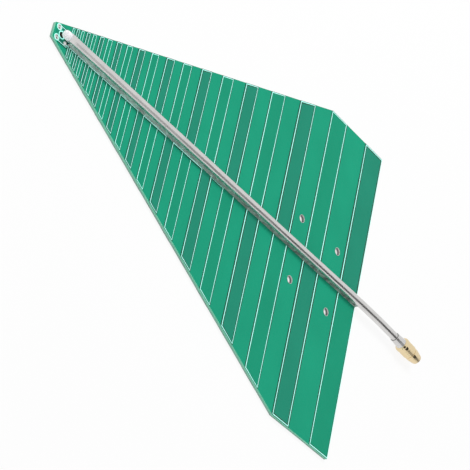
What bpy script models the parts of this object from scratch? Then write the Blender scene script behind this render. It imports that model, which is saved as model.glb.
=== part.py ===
"""Log periodic dipole antenna etched on a tapered circuit board and fed by a rigid coaxial cable.

The board lies flat with the cable on top. +X runs along the boom and points the way the antenna
radiates, Y runs along the dipoles, and the origin is under the middle of the whole length.
Distances along the boom are measured from the nose of the board towards the connector.
"""

import math

import bpy
import bmesh
from mathutils import Vector

MM = 0.001

# Board
BOARD_LENGTH = 200.0 * MM
BOARD_WIDTH = 145.0 * MM
NOSE_WIDTH = 6.1 * MM
STRAIGHT_LENGTH = 38.8 * MM
BOARD_THICKNESS = 1.6 * MM
COPPER_THICKNESS = 0.1 * MM

# Dipoles: each one is smaller than the one behind it, all drawn towards one point ahead of the nose
ELEMENT_COUNT = 20
ELEMENT_SHRINK = 0.128
APEX_AHEAD = 5.56 * MM
REAR_ELEMENT_WIDTH = 12.6 * MM
SECOND_ELEMENT_WIDTH = 10.5 * MM
ELEMENT_EDGE_MARGIN = 0.4 * MM
STRIP_HALF_WIDTH = 2.2 * MM
HEAD_HALF_WIDTH = 3.1 * MM
HEAD_FROM_NOSE = 1.35 * MM
HEAD_END_FROM_NOSE = 7.6 * MM

# Mounting holes, two pairs across the boom, each a share of the way across a bare stripe
MOUNT_BORE_RADIUS = 1.55 * MM
MOUNT_BARREL_WALL = 0.08 * MM
MOUNT_RING_WIDTH = 0.1 * MM
MOUNT_SHARE_REAR = 0.63694
MOUNT_SHARE_FRONT = 0.50776
MOUNT_SPACING_Y = 29.0 * MM

# Round plated pads at the front corners of the strip, each with two vias
PAD_RADIUS = 1.1 * MM
PAD_FROM_NOSE = 2.05 * MM
PAD_OFF_AXIS = 2.25 * MM
PAD_ISOLATION = 0.2 * MM
VIA_BORE_RADIUS = 0.22 * MM
VIA_WALL = 0.1 * MM
VIA_SPACING = 0.95 * MM

# Coaxial cable, with the end of its white dielectric swollen to a bulb over the feed hole
SHIELD_RADIUS = 1.79 * MM
SHIELD_WALL = 0.2 * MM
SHIELD_FROM_NOSE = 6.3 * MM
DIELECTRIC_RADIUS = 1.49 * MM
BULB_RADIUS = 1.7 * MM
BULB_FROM_NOSE = 4.8 * MM
BULB_NECK_LENGTH = 0.5 * MM
CONDUCTOR_RADIUS = 0.46 * MM
CONDUCTOR_BEND_RADIUS = 0.8 * MM
FEED_FROM_NOSE = 4.1 * MM
FEED_HOLE_RADIUS = 1.2 * MM
FEED_ISOLATION = 0.25 * MM
FREE_LENGTH = 28.0 * MM
SIDE_BEND = 0.9 * MM

# Solder
SEAM_HALF_WIDTH = 1.95 * MM
SEAM_TOP_ANGLE = math.radians(32.0)
SEAM_SETBACK = 1.4 * MM
TACK_RADIUS = 0.9 * MM
TACK_HEIGHT = 0.7 * MM
TACK_FROM_NOSE = 6.5 * MM
TACK_OFF_AXIS = 2.15 * MM

# Connector at the end of the cable
FERRULE_LENGTH = 5.4 * MM
FERRULE_FLARE_RADIUS = 2.45 * MM
FERRULE_LIP = 0.2 * MM
COLLAR_RADIUS = 3.3 * MM
COLLAR_LENGTH = 2.2 * MM
COLLAR_CHAMFER = 0.8 * MM
BARREL_RADIUS = 3.17 * MM
BARREL_LENGTH = 4.7 * MM
GROOVE_RADIUS = 2.7 * MM
GROOVE_LENGTH = 0.4 * MM
FRONT_RADIUS = 3.0 * MM
FRONT_LENGTH = 5.5 * MM
FRONT_TAPER_LENGTH = 3.6 * MM
TIP_RADIUS = 2.35 * MM
CABLE_SOCKET_DEPTH = 3.0 * MM
INSULATOR_RADIUS = 2.05 * MM
CONTACT_RADIUS = 0.635 * MM
CONTACT_REAR_RADIUS = 0.85 * MM
CONTACT_SOCKET_RADIUS = 0.47 * MM
CONTACT_SOCKET_DEPTH = 2.4 * MM

# Clearance between round pieces that sit in each other
FIT_GAP = 0.1 * MM
PLATING_GAP = 0.05 * MM

# Places worked out from the sizes
BODY_LENGTH = COLLAR_LENGTH + BARREL_LENGTH + GROOVE_LENGTH + FRONT_LENGTH
OVERALL_LENGTH = BOARD_LENGTH + FREE_LENGTH + FERRULE_LENGTH + BODY_LENGTH
NOSE_X = OVERALL_LENGTH / 2
TAPER_LENGTH = BOARD_LENGTH - STRAIGHT_LENGTH
TOP_Z = BOARD_THICKNESS
CORE_LOW = COPPER_THICKNESS
CORE_HIGH = BOARD_THICKNESS - COPPER_THICKNESS
CABLE_Z = TOP_Z + FIT_GAP + SHIELD_RADIUS
CONDUCTOR_BORE = CONDUCTOR_RADIUS + FIT_GAP

ROUND_SIDES = 48
SMALL_SIDES = 24
PATH_STEPS = 10

WHITE_METAL = ("tinned_metal", (0.62, 0.60, 0.57), 0.32, 1.0)
GOLD = ("gold_plate", (0.86, 0.66, 0.30), 0.22, 1.0)
PTFE = ("white_ptfe", (0.85, 0.86, 0.86), 0.45, 0.0)


def clear_scene():
    for old in list(bpy.data.objects):
        bpy.data.objects.remove(old, do_unlink=True)


def new_collection(name):
    collection = bpy.data.collections.new(name)
    bpy.context.scene.collection.children.link(collection)
    return collection


def finish(obj, collection, look):
    """Put a piece in its collection with a material of its own."""
    for owner in list(obj.users_collection):
        owner.objects.unlink(obj)
    collection.objects.link(obj)
    if look is None:
        obj.hide_render = True
        obj.display_type = "WIRE"
        return obj
    name, colour, roughness, metallic = look
    material = bpy.data.materials.new(obj.name + "_" + name)
    material.use_nodes = True
    shader = material.node_tree.nodes["Principled BSDF"]
    shader.inputs["Base Color"].default_value = (*colour, 1.0)
    shader.inputs["Roughness"].default_value = roughness
    shader.inputs["Metallic"].default_value = metallic
    obj.data.materials.clear()
    obj.data.materials.append(material)
    return obj


def smooth(obj, angle=math.radians(35)):
    obj.data.shade_smooth()
    obj.data.set_sharp_from_angle(angle=angle)
    return obj


def to_mesh(curve_object):
    """Turn a curve object into a closed mesh object of the same name."""
    name = curve_object.name
    bpy.context.view_layer.update()
    graph = bpy.context.evaluated_depsgraph_get()
    mesh = bpy.data.meshes.new_from_object(curve_object.evaluated_get(graph))
    place = curve_object.matrix_world.copy()
    bpy.data.objects.remove(curve_object, do_unlink=True)
    shape = bmesh.new()
    shape.from_mesh(mesh)
    bmesh.ops.remove_doubles(shape, verts=shape.verts, dist=1e-7)
    bmesh.ops.recalc_face_normals(shape, faces=shape.faces)
    shape.to_mesh(mesh)
    shape.free()
    obj = bpy.data.objects.new(name, mesh)
    bpy.context.scene.collection.objects.link(obj)
    obj.matrix_world = place
    return obj


def flat_plate(name, outline, low, high, holes=()):
    """A flat outline in X and Y, with any holes, made solid between two heights."""
    curve = bpy.data.curves.new(name, "CURVE")
    curve.dimensions = "2D"
    curve.fill_mode = "BOTH"
    curve.extrude = (high - low) / 2
    for loop in (outline, *holes):
        spline = curve.splines.new("POLY")
        spline.points.add(len(loop) - 1)
        for point, (x, y) in zip(spline.points, loop):
            point.co = (x, y, 0.0, 1.0)
        spline.use_cyclic_u = True
    obj = bpy.data.objects.new(name, curve)
    obj.location.z = (low + high) / 2
    bpy.context.scene.collection.objects.link(obj)
    return to_mesh(obj)


def circle(x, y, radius, sides=SMALL_SIDES):
    return [(x + radius * math.cos(math.tau * step / sides), y + radius * math.sin(math.tau * step / sides))
            for step in range(sides)]


def long_section(name, section, x_start, x_end):
    """A section in Y and Z, made solid along the boom."""
    curve = bpy.data.curves.new(name, "CURVE")
    curve.dimensions = "2D"
    curve.fill_mode = "BOTH"
    curve.extrude = abs(x_end - x_start) / 2
    spline = curve.splines.new("POLY")
    spline.points.add(len(section) - 1)
    for point, (y, z) in zip(spline.points, section):
        point.co = (y, z, 0.0, 1.0)
    spline.use_cyclic_u = True
    obj = bpy.data.objects.new(name, curve)
    obj.rotation_euler = (math.pi / 2, 0.0, math.pi / 2)
    obj.location.x = (x_start + x_end) / 2
    bpy.context.scene.collection.objects.link(obj)
    return to_mesh(obj)


def swept(name, path, radius, sides, capped=True, radii=None):
    """A round bar or open tube skin along a path."""
    curve = bpy.data.curves.new(name, "CURVE")
    curve.dimensions = "3D"
    curve.bevel_depth = radius
    curve.bevel_resolution = (sides - 4) // 2
    curve.use_fill_caps = capped
    spline = curve.splines.new("POLY")
    spline.points.add(len(path) - 1)
    for index, place in enumerate(path):
        spline.points[index].co = (*place, 1.0)
        spline.points[index].radius = radii[index] / radius if radii else 1.0
    obj = bpy.data.objects.new(name, curve)
    bpy.context.scene.collection.objects.link(obj)
    return to_mesh(obj)


def upright(name, x, y, radius, low, high, sides=SMALL_SIDES):
    bpy.ops.mesh.primitive_cylinder_add(
        vertices=sides, radius=radius, depth=high - low, location=(x, y, (low + high) / 2))
    obj = bpy.context.active_object
    obj.name = name
    return obj


def boolean(obj, other, operation):
    step = obj.modifiers.new(operation.lower(), "BOOLEAN")
    step.operation = operation
    step.object = other
    step.solver = "EXACT"


def turned(name, profile, sides=ROUND_SIDES, ring=True):
    """A closed profile of radius and height, turned about Z."""
    mesh = bpy.data.meshes.new(name)
    shape = bmesh.new()
    corners = [shape.verts.new((radius, 0.0, height)) for radius, height in profile]
    for first, second in zip(corners, corners[1:]):
        shape.edges.new((first, second))
    if ring:
        shape.edges.new((corners[-1], corners[0]))
    shape.to_mesh(mesh)
    shape.free()
    obj = bpy.data.objects.new(name, mesh)
    bpy.context.scene.collection.objects.link(obj)
    screw = obj.modifiers.new("turn", "SCREW")
    screw.steps = sides
    screw.render_steps = sides
    screw.use_merge_vertices = True
    screw.merge_threshold = 1e-6
    return obj


def along(distance):
    """X of a place given by its distance from the nose."""
    return NOSE_X - distance


def half_width(distance):
    """Half width of the board at a distance from the nose."""
    share = min(distance / TAPER_LENGTH, 1.0)
    return (NOSE_WIDTH + (BOARD_WIDTH - NOSE_WIDTH) * share) / 2


def element_span(index):
    """Front and rear edge of a dipole, counted from the longest one at the rear."""
    if index == 1:
        return BOARD_LENGTH - REAR_ELEMENT_WIDTH, BOARD_LENGTH
    scale = (1.0 - ELEMENT_SHRINK) ** (index - 2)
    front = TAPER_LENGTH * scale - APEX_AHEAD * (1.0 - scale)
    return front, front + SECOND_ELEMENT_WIDTH * scale


def element_indices():
    """Dipoles that start behind the strip's wide head."""
    return [index for index in range(1, ELEMENT_COUNT + 1)
            if element_span(index)[0] > HEAD_END_FROM_NOSE]


def half_copper(odd_side):
    """Outline of the strip with half elements on alternate sides, as points in X and Y.

    odd_side is 1 or -1: the side of the boom on which the first, third and fifth dipole lie.
    """
    outline = head_side(1)[::-1] + head_side(-1)
    sides = {-1: [], 1: []}
    for index in element_indices():
        side = odd_side if index % 2 else -odd_side
        sides[side].append(element_span(index))
    for front, rear in reversed(sides[-1]):
        outline += arm(front, rear, -1)
    outline += rear_corner(sides[-1], -1)
    outline += reversed(rear_corner(sides[1], 1))
    for front, rear in sides[1]:
        outline += reversed(arm(front, rear, 1))
    return outline


def head_side(side):
    """One side of the strip's wide head, cut back round a nose pad, and its step down to the strip."""
    radius = PAD_RADIUS + PAD_ISOLATION
    ahead = PAD_FROM_NOSE - HEAD_FROM_NOSE
    beside = HEAD_HALF_WIDTH - PAD_OFF_AXIS
    start = math.atan2(-math.sqrt(radius ** 2 - ahead ** 2), -ahead)
    end = math.atan2(beside, math.sqrt(radius ** 2 - beside ** 2))
    angles = [start + (end - start) * step / PATH_STEPS for step in range(PATH_STEPS + 1)]
    notch = [(along(PAD_FROM_NOSE + radius * math.cos(angle)),
              side * (PAD_OFF_AXIS + radius * math.sin(angle))) for angle in angles]
    step = [(along(HEAD_END_FROM_NOSE), side * HEAD_HALF_WIDTH),
            (along(HEAD_END_FROM_NOSE), side * STRIP_HALF_WIDTH)]
    return notch + step


def arm(front, rear, side):
    """The corners of one half element, from its root at the front round to its root at the rear."""
    corners = [
        (front, STRIP_HALF_WIDTH),
        (front, half_width(front) - ELEMENT_EDGE_MARGIN),
        (rear, half_width(rear) - ELEMENT_EDGE_MARGIN),
        (rear, STRIP_HALF_WIDTH)]
    if rear > TAPER_LENGTH > front:
        corners.insert(2, (TAPER_LENGTH, half_width(TAPER_LENGTH) - ELEMENT_EDGE_MARGIN))
    if rear >= BOARD_LENGTH:
        corners.pop()
    return [(along(distance), side * width) for distance, width in corners]


def rear_corner(spans, side):
    """The strip's own rear corner, where no element reaches the rear edge on that side."""
    if any(rear >= BOARD_LENGTH for front, rear in spans):
        return []
    return [(along(BOARD_LENGTH), side * STRIP_HALF_WIDTH)]


def mount_places():
    """Two rows of holes, in the bare stripes ahead of the first and the second dipole."""
    places = []
    for index, share in ((1, MOUNT_SHARE_REAR), (2, MOUNT_SHARE_FRONT)):
        stripe_start, stripe_end = element_span(index + 1)[1], element_span(index)[0]
        x = along(stripe_start + (stripe_end - stripe_start) * share)
        places += [(x, side * MOUNT_SPACING_Y / 2) for side in (-1, 1)]
    return places


def pad_places():
    return {"left": (along(PAD_FROM_NOSE), PAD_OFF_AXIS),
            "right": (along(PAD_FROM_NOSE), -PAD_OFF_AXIS)}


def via_places(pad):
    x, y = pad
    return [(x, y - VIA_SPACING / 2), (x, y + VIA_SPACING / 2)]


def bend_end():
    """Place and direction of the cable's axis where it enters the connector."""
    slope = 2 * SIDE_BEND / FREE_LENGTH
    direction = Vector((-1.0, slope, 0.0)).normalized()
    return Vector((along(BOARD_LENGTH + FREE_LENGTH), SIDE_BEND, CABLE_Z)), direction


def cable_path(first_distance, into_connector):
    """The cable's axis: straight along the board, then a slow bend to the connector."""
    path = [Vector((along(first_distance), 0.0, CABLE_Z))]
    for step in range(PATH_STEPS):
        share = step / PATH_STEPS
        path.append(Vector((along(BOARD_LENGTH + share * FREE_LENGTH), SIDE_BEND * share ** 2, CABLE_Z)))
    end, direction = bend_end()
    path.append(end)
    path.append(end + direction * into_connector)
    return path


def on_connector_axis(obj, start):
    """Stand a turned piece on the connector's axis, start metres past the ferrule's rear end."""
    end, direction = bend_end()
    obj.rotation_mode = "QUATERNION"
    obj.rotation_quaternion = direction.to_track_quat("Z", "Y")
    obj.location = end + direction * start
    return obj


def make_board(parts, cutters):
    rear, shoulder, nose = along(BOARD_LENGTH), along(TAPER_LENGTH), along(0.0)
    half, tip = BOARD_WIDTH / 2, NOSE_WIDTH / 2
    outline = [(rear, -half), (shoulder, -half), (nose, -tip), (nose, tip), (shoulder, half), (rear, half)]
    board = finish(flat_plate("board", outline, CORE_LOW, CORE_HIGH), parts,
                   ("green_board", (0.03, 0.30, 0.20), 0.35, 0.0))
    depth = (-COPPER_THICKNESS, BOARD_THICKNESS + COPPER_THICKNESS)
    holes = [(place, MOUNT_BORE_RADIUS + MOUNT_BARREL_WALL + PLATING_GAP) for place in mount_places()]
    holes.append(((along(FEED_FROM_NOSE), 0.0), FEED_HOLE_RADIUS))
    for pad in pad_places().values():
        holes += [(place, VIA_BORE_RADIUS + VIA_WALL + PLATING_GAP) for place in via_places(pad)]
    for number, ((x, y), radius) in enumerate(holes, 1):
        cutter = finish(upright("board_hole_%d" % number, x, y, radius, *depth), cutters, None)
        boolean(board, cutter, "DIFFERENCE")


def make_copper(parts, name, odd_side, low, high, feed_radius):
    feed_opening = circle(along(FEED_FROM_NOSE), 0.0, feed_radius)
    finish(flat_plate(name, half_copper(odd_side), low, high, [feed_opening]), parts,
           ("masked_copper", (0.04, 0.25, 0.17), 0.3, 0.0))


def make_mount_barrels(parts):
    """Plated barrels of the mounting holes, with a narrow ring on each face."""
    wall = MOUNT_BORE_RADIUS + MOUNT_BARREL_WALL
    ring = wall + MOUNT_RING_WIDTH
    profile = [(ring, TOP_Z), (ring, CORE_HIGH), (wall, CORE_HIGH), (wall, CORE_LOW), (ring, CORE_LOW),
               (ring, 0.0), (MOUNT_BORE_RADIUS, 0.0), (MOUNT_BORE_RADIUS, TOP_Z)]
    for number, (x, y) in enumerate(mount_places(), 1):
        barrel = turned("mount_barrel_%d" % number, profile, SMALL_SIDES)
        barrel.location = (x, y, 0.0)
        finish(smooth(barrel), parts, WHITE_METAL)


def make_pads(parts, cutters):
    """Round pads on both faces, joined through the board by two vias."""
    for side, pad in pad_places().items():
        obj = upright("nose_pad_" + side, *pad, PAD_RADIUS, CORE_HIGH, TOP_Z)
        lower = finish(upright("pad_%s_lower" % side, *pad, PAD_RADIUS, 0.0, CORE_LOW), cutters, None)
        boolean(obj, lower, "UNION")
        for number, (x, y) in enumerate(via_places(pad), 1):
            sleeve = upright("pad_%s_sleeve_%d" % (side, number), x, y, VIA_BORE_RADIUS + VIA_WALL,
                             COPPER_THICKNESS / 2, TOP_Z - COPPER_THICKNESS / 2)
            boolean(obj, finish(sleeve, cutters, None), "UNION")
        for number, (x, y) in enumerate(via_places(pad), 1):
            bore = upright("pad_%s_bore_%d" % (side, number), x, y, VIA_BORE_RADIUS,
                           -COPPER_THICKNESS, TOP_Z + COPPER_THICKNESS)
            boolean(obj, finish(bore, cutters, None), "DIFFERENCE")
        finish(obj, parts, WHITE_METAL)


def make_cable(parts, cutters):
    shield = swept("coax_shield", cable_path(SHIELD_FROM_NOSE, FERRULE_LENGTH + CABLE_SOCKET_DEPTH),
                   SHIELD_RADIUS, SMALL_SIDES, capped=False)
    wall = shield.modifiers.new("wall", "SOLIDIFY")
    wall.thickness = SHIELD_WALL
    wall.offset = -1.0
    finish(smooth(shield), parts, WHITE_METAL)

    path = cable_path(SHIELD_FROM_NOSE, FERRULE_LENGTH + CABLE_SOCKET_DEPTH)
    radii = [DIELECTRIC_RADIUS] * len(path)
    front, front_radii = bulb()
    dielectric = swept("coax_dielectric", front + path, DIELECTRIC_RADIUS, SMALL_SIDES,
                       radii=front_radii + radii)
    bore = finish(swept("dielectric_bore", conductor_path(), CONDUCTOR_BORE, SMALL_SIDES), cutters, None)
    boolean(dielectric, bore, "DIFFERENCE")
    finish(smooth(dielectric), parts, PTFE)

    finish(smooth(swept("centre_conductor", conductor_path(), CONDUCTOR_RADIUS, 16)), parts,
           ("silvered_copper", (0.80, 0.62, 0.45), 0.25, 1.0))


def bulb():
    """Path and radii of the dielectric's round front end, down to where it enters the shield."""
    path, radii = [], []
    for step in range(1, 7):
        angle = math.pi / 2 * step / 6
        path.append(Vector((along(BULB_FROM_NOSE - BULB_RADIUS * math.cos(angle)), 0.0, CABLE_Z)))
        radii.append(BULB_RADIUS * math.sin(angle))
    path.append(Vector((along(SHIELD_FROM_NOSE - FIT_GAP - BULB_NECK_LENGTH), 0.0, CABLE_Z)))
    path.append(Vector((along(SHIELD_FROM_NOSE - FIT_GAP), 0.0, CABLE_Z)))
    radii += [BULB_RADIUS, DIELECTRIC_RADIUS]
    return path, radii


def conductor_path():
    """From the underside of the board up the feed hole, round one bend and along the cable."""
    x = along(FEED_FROM_NOSE)
    path = [Vector((x, 0.0, 0.0))]
    for step in range(7):
        angle = math.pi / 2 * step / 6
        path.append(Vector((x - CONDUCTOR_BEND_RADIUS * (1 - math.cos(angle)), 0.0,
                            CABLE_Z - CONDUCTOR_BEND_RADIUS * (1 - math.sin(angle)))))
    depth = FERRULE_LENGTH + CABLE_SOCKET_DEPTH + 2 * FIT_GAP + CONTACT_SOCKET_DEPTH
    return path + cable_path(SHIELD_FROM_NOSE, depth)


def make_solder(parts):
    """The seams on both sides of the cable, the tack ahead of it and the joint in the feed hole."""
    reach = SHIELD_RADIUS + FIT_GAP
    low_angle = math.acos(min(0.99, FIT_GAP / reach))
    arc = []
    for step in range(7):
        angle = SEAM_TOP_ANGLE + (low_angle - SEAM_TOP_ANGLE) * step / 6
        arc.append((reach * math.cos(angle), CABLE_Z - reach * math.sin(angle)))
    outer = max(SEAM_HALF_WIDTH, arc[0][0] + FIT_GAP)
    section = [(arc[-1][0], TOP_Z), (outer, TOP_Z)] + arc
    for side, sign in (("left", 1), ("right", -1)):
        outline = [(sign * y, z) for y, z in section]
        seam = long_section("solder_seam_" + side, outline,
                            along(SHIELD_FROM_NOSE + SEAM_SETBACK), along(BOARD_LENGTH))
        finish(smooth(seam), parts, WHITE_METAL)

    profile = [(0.0, TACK_HEIGHT)]
    for step in range(1, 7):
        angle = math.pi / 2 * (1 - step / 6)
        profile.append((TACK_RADIUS * math.cos(angle), TACK_HEIGHT * math.sin(angle)))
    profile.append((0.0, 0.0))
    tack = turned("solder_tack", profile, SMALL_SIDES, ring=False)
    tack.location = (along(TACK_FROM_NOSE), TACK_OFF_AXIS, TOP_Z)
    finish(smooth(tack), parts, WHITE_METAL)

    inner, outer = CONDUCTOR_RADIUS + PLATING_GAP, FEED_HOLE_RADIUS - PLATING_GAP
    high = BOARD_THICKNESS / 2
    joint = turned("feed_solder", [(outer, high), (outer, CORE_LOW), (inner, CORE_LOW), (inner, high)],
                   SMALL_SIDES)
    joint.location = (along(FEED_FROM_NOSE), 0.0, 0.0)
    finish(smooth(joint), parts, WHITE_METAL)


def make_connector(parts):
    """A coaxial jack: soldered ferrule, plated body, insulator and sprung centre contact."""
    bore = SHIELD_RADIUS + FIT_GAP
    lip = bore + FERRULE_LIP
    outer = [(FERRULE_FLARE_RADIUS, FERRULE_LENGTH)]
    for step in range(5, -1, -1):
        share = step / 6
        outer.append((lip + (FERRULE_FLARE_RADIUS - lip) * share ** 1.6, FERRULE_LENGTH * share))
    ferrule = turned("ferrule", outer + [(bore, 0.0), (bore, FERRULE_LENGTH)])
    finish(smooth(on_connector_axis(ferrule, 0.0)), parts, WHITE_METAL)

    insulator_bore = INSULATOR_RADIUS + FIT_GAP
    ledge = CABLE_SOCKET_DEPTH + FIT_GAP
    groove = COLLAR_LENGTH + BARREL_LENGTH
    front = groove + GROOVE_LENGTH
    profile = [
        (TIP_RADIUS, BODY_LENGTH), (FRONT_RADIUS, BODY_LENGTH - FRONT_TAPER_LENGTH), (FRONT_RADIUS, front),
        (GROOVE_RADIUS, front), (GROOVE_RADIUS, groove), (BARREL_RADIUS, groove),
        (BARREL_RADIUS, COLLAR_LENGTH), (COLLAR_RADIUS, COLLAR_LENGTH),
        (COLLAR_RADIUS, COLLAR_CHAMFER), (COLLAR_RADIUS - COLLAR_CHAMFER, 0.0),
        (bore, 0.0), (bore, ledge), (insulator_bore, ledge), (insulator_bore, BODY_LENGTH)]
    body = turned("connector_body", profile)
    finish(smooth(on_connector_axis(body, FERRULE_LENGTH)), parts, GOLD)

    rear_length = CONTACT_SOCKET_DEPTH + 4 * FIT_GAP
    start = ledge + FIT_GAP
    end = BODY_LENGTH - FIT_GAP
    step_z = start + rear_length + FIT_GAP
    insulator = turned("insulator", [
        (INSULATOR_RADIUS, end), (INSULATOR_RADIUS, start), (CONTACT_REAR_RADIUS + FIT_GAP, start),
        (CONTACT_REAR_RADIUS + FIT_GAP, step_z), (CONTACT_RADIUS + FIT_GAP, step_z),
        (CONTACT_RADIUS + FIT_GAP, end)])
    finish(smooth(on_connector_axis(insulator, FERRULE_LENGTH)), parts, PTFE)

    tip = end - FIT_GAP
    rear_bore_end = start + CONTACT_SOCKET_DEPTH + FIT_GAP
    contact = turned("centre_contact", [
        (0.0, tip - CONTACT_SOCKET_DEPTH), (CONTACT_SOCKET_RADIUS, tip - CONTACT_SOCKET_DEPTH),
        (CONTACT_SOCKET_RADIUS, tip), (CONTACT_RADIUS, tip), (CONTACT_RADIUS, start + rear_length),
        (CONTACT_REAR_RADIUS, start + rear_length), (CONTACT_REAR_RADIUS, start),
        (CONDUCTOR_BORE, start), (CONDUCTOR_BORE, rear_bore_end), (0.0, rear_bore_end)], ring=False)
    finish(smooth(on_connector_axis(contact, FERRULE_LENGTH)), parts, GOLD)


def main():
    clear_scene()
    parts = new_collection("log_periodic_antenna")
    cutters = new_collection("cutters")
    make_board(parts, cutters)
    make_copper(parts, "top_copper", -1, CORE_HIGH, TOP_Z, FEED_HOLE_RADIUS + FEED_ISOLATION)
    make_copper(parts, "bottom_copper", 1, 0.0, CORE_LOW, CONDUCTOR_BORE)
    make_mount_barrels(parts)
    make_pads(parts, cutters)
    make_cable(parts, cutters)
    make_solder(parts)
    make_connector(parts)


main()
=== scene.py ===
"""Finish of the log periodic antenna: board, soldered cable, jack and the studio round it.

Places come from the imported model. +X points from the jack to the nose, Y runs along the dipoles
and Z up through the board.
"""

import math

import bpy
import bmesh
from bpy.props import FloatProperty, FloatVectorProperty, IntProperty, PointerProperty
from mathutils import Matrix, Vector, noise


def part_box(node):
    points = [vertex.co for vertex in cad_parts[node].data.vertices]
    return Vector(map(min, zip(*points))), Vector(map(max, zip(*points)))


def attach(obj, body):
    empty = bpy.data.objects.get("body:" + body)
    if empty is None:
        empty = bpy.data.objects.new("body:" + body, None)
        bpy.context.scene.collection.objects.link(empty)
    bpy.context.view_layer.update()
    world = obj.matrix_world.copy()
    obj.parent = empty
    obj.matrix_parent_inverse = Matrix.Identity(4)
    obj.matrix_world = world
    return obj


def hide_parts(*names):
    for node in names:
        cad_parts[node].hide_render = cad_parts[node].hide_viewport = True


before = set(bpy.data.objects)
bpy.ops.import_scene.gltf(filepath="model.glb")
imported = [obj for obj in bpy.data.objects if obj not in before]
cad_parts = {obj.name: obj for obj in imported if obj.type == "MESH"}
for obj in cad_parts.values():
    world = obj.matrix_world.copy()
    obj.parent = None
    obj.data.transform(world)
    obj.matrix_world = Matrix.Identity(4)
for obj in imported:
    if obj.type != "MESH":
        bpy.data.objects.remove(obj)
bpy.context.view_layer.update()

bl_info = {
    "name": "Log Periodic Antenna Finish",
    "version": (1, 0, 0),
    "blender": (4, 5, 0),
    "location": "3D View > Sidebar > Antenna",
    "description": "Dresses a printed log periodic antenna and sets up its studio",
    "category": "Object",
}

MM = 0.001
UP = Vector((0.0, 0.0, 1.0))
WHITE = (1.0, 1.0, 1.0)
BLACK = (0.0, 0.0, 0.0)
# painted shade: colour of the discs that stand for the shaded insides of the feed hole and the vias
PAINTED_HOLE_SHADE = (18, 24, 20)

NOISE_LOW, NOISE_HIGH = 0.3, 0.7  # most of a noise lies between these
WAVE_FACTOR = 20  # the wave texture multiplies its own scale by this
UPRIGHT, FLAT = 0.5, 0.9  # the Z of a wall's normal is smaller, and that of a flat face larger
SAWN_CONTRAST = 0.35  # how much the sawn layers change the wall's tone
# painted shade in the mounting holes: the barrel's inside darkens towards the middle of the hole's depth
DARK_BARREL, BRIGHT_BARREL = 0.1 * MM, 0.65 * MM  # from the middle of a hole's depth
BARREL_SHADE = 0.12
DULL_START, DULL_END = 1.4 * MM, 0.2 * MM  # from the wide end of the jack's taper, towards the nose
DULL_ROUGHNESS = 0.34
CORNER_SHARE = 0.4  # of an edge that one rounded corner may take
HOLLOW_SIDE, HOLLOW_HEIGHT = 0.15, 0.3  # bend of a seam's section, as shares of its width and height
SLOW_WAVES, FAST_WAVES = 170.0, 700.0  # of a seam's foot, per metre
SLOW_ROW, FAST_ROW = 7.0, 3.0  # rows of the noise that these waves are taken from
FAST_WAVE_SHARE = 0.4
FLARE_POWER = 1.6
CREST_SHARE = 0.3  # of the thread's pitch, from a root to a crest
FLOOR_GAP = 0.1 * MM
FLOOR_TONE = 0.9
CARD_LIGHT_REACH, CARD_DARK_REACH = 0.5, 0.85  # from a card's middle, in metres


def linear(red, green, blue):
    """A screen colour, each part from 0 to 255, as the linear colour that shaders use."""
    return tuple(part / 255 / 12.92 if part <= 10 else ((part / 255 + 0.055) / 1.055) ** 2.4
                 for part in (red, green, blue))


def colour_property(name, description, default):
    return FloatVectorProperty(name=name, description=description, subtype="COLOR", size=3,
                               min=0.0, max=1.0, default=default)


def length_property(name, description, millimetres, low=0.0):
    return FloatProperty(name=name, description=description, default=millimetres * MM, min=low,
                         unit="LENGTH", subtype="DISTANCE", precision=5)


def share_property(name, description, default, low=0.0):
    return FloatProperty(name=name, description=description, default=default, min=low, max=1.0)


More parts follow.
